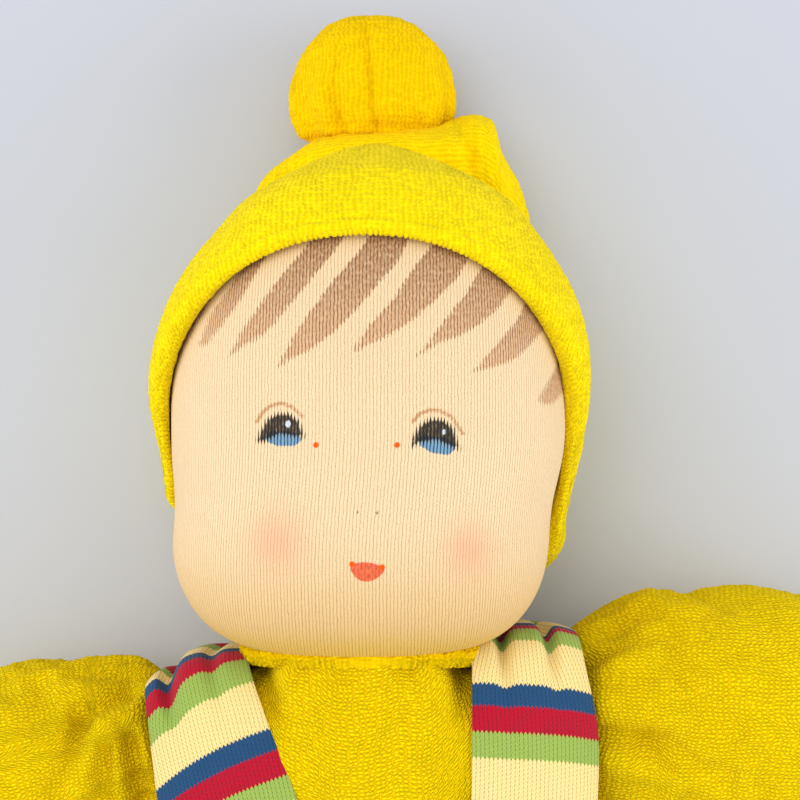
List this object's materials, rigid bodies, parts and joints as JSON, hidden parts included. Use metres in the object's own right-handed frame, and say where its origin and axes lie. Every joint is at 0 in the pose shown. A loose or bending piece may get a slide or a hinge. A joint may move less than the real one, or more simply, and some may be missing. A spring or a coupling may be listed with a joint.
{
  "type": "waldorf doll",
  "caption": "Soft cloth doll lying on its back, in a yellow terry hood and suit with striped trousers on straps; head, arms, hands and legs turn at sewn joints.",
  "frame": {"origin": "on the floor under the doll, midway between its soles and the top of the hood's bobble, on its midline", "axes": "+Y from feet to head, +Z out of the doll's front (up, as it lies), +X to the doll's own left"},
  "size_m": [0.2915, 0.3668, 0.086],
  "materials": {
    "yellow_terry": "looped terry, matt",
    "cream_tricot": "fine knit, matt",
    "striped_jersey": "knit with blue, red and green stripes",
    "sheep_wool": "carded wool",
    "strong_thread": "twisted thread"
  },
  "bodies": {
    "torso": {"body_cover": "yellow_terry", "body_filling": "sheep_wool", "trouser_seat": "striped_jersey", "left_strap": "striped_jersey", "right_strap": "striped_jersey"},
    "neck_tie": {"neck_tie": "strong_thread"},
    "head": {"head_core": "sheep_wool", "eye_line_thread": "strong_thread", "head_skin": "cream_tricot", "hood": "yellow_terry"},
    "hood_tail": {"hood_tail": "yellow_terry"},
    "bobble": {"bobble_tie": "strong_thread", "bobble_cover": "yellow_terry", "bobble_filling": "sheep_wool"},
    "left_shoulder_thread": {"left_shoulder_thread": "strong_thread"},
    "left_arm": {"left_arm_cover": "yellow_terry", "left_arm_filling": "sheep_wool", "left_wrist_tie": "strong_thread"},
    "left_hand": {"left_hand_skin": "cream_tricot", "left_hand_filling": "sheep_wool"},
    "left_hip_thread": {"left_hip_thread": "strong_thread"},
    "left_leg": {"left_leg_cover": "yellow_terry", "left_leg_filling": "sheep_wool", "left_trouser_leg": "striped_jersey"},
    "right_shoulder_thread": {"right_shoulder_thread": "strong_thread"},
    "right_arm": {"right_arm_cover": "yellow_terry", "right_arm_filling": "sheep_wool", "right_wrist_tie": "strong_thread"},
    "right_hand": {"right_hand_skin": "cream_tricot", "right_hand_filling": "sheep_wool"},
    "right_hip_thread": {"right_hip_thread": "strong_thread"},
    "right_leg": {"right_leg_cover": "yellow_terry", "right_leg_filling": "sheep_wool", "right_trouser_leg": "striped_jersey"}
  },
  "joints": [
    {"name": "neck_turn", "type": "hinge", "parent": "torso", "child": "neck_tie", "pos_m": [0, 0.02955, 0.036], "axis": [0, 1, 0], "range_deg": [-35, 35]},
    {"name": "neck_nod", "type": "hinge", "parent": "neck_tie", "child": "head", "pos_m": [0, 0.02955, 0.036], "axis": [1, 0, 0], "range_deg": [-15, 10]},
    {"name": "tail_fold", "type": "hinge", "parent": "head", "child": "hood_tail", "pos_m": [0, 0.14325, 0.0165], "axis": [-1, 0, 0], "range_deg": [0, 45]},
    {"name": "bobble_swing", "type": "hinge", "parent": "hood_tail", "child": "bobble", "pos_m": [0.0009, 0.15445, 0.017], "axis": [-1, 0, 0], "range_deg": [-25, 25]},
    {"name": "left_arm_raise", "type": "hinge", "parent": "torso", "child": "left_shoulder_thread", "pos_m": [0.057, 0.02055, 0.025], "axis": [0, 0, 1], "range_deg": [-40, 35]},
    {"name": "left_arm_forward", "type": "hinge", "parent": "left_shoulder_thread", "child": "left_arm", "pos_m": [0.057, 0.02055, 0.025], "axis": [-0.0175, -0.9998, 0], "range_deg": [-20, 45]},
    {"name": "left_wrist_bend", "type": "hinge", "parent": "left_arm", "child": "left_hand", "pos_m": [0.12399, 0.01938, 0.01231], "axis": [-0.0175, -0.9998, 0], "range_deg": [-35, 35]},
    {"name": "left_leg_splay", "type": "hinge", "parent": "torso", "child": "left_hip_thread", "pos_m": [0.024, -0.07145, 0.025], "axis": [0, 0, 1], "range_deg": [0, 25]},
    {"name": "left_leg_lift", "type": "hinge", "parent": "left_hip_thread", "child": "left_leg", "pos_m": [0.024, -0.07145, 0.025], "axis": [-1, 0, 0], "range_deg": [-10, 50]},
    {"name": "right_arm_raise", "type": "hinge", "parent": "torso", "child": "right_shoulder_thread", "pos_m": [-0.057, 0.01355, 0.025], "axis": [0, 0, -1], "range_deg": [-28, 45]},
    {"name": "right_arm_forward", "type": "hinge", "parent": "right_shoulder_thread", "child": "right_arm", "pos_m": [-0.057, 0.01355, 0.025], "axis": [-0.2419, 0.9703, 0], "range_deg": [-20, 45]},
    {"name": "right_wrist_bend", "type": "hinge", "parent": "right_arm", "child": "right_hand", "pos_m": [-0.12201, -0.00266, 0.01231], "axis": [-0.2419, 0.9703, 0], "range_deg": [-35, 35]},
    {"name": "right_leg_splay", "type": "hinge", "parent": "torso", "child": "right_hip_thread", "pos_m": [-0.024, -0.07145, 0.025], "axis": [0, 0, -1], "range_deg": [0, 25]},
    {"name": "right_leg_lift", "type": "hinge", "parent": "right_hip_thread", "child": "right_leg", "pos_m": [-0.024, -0.07145, 0.025], "axis": [-1, 0, 0], "range_deg": [-10, 50]}
  ]
}
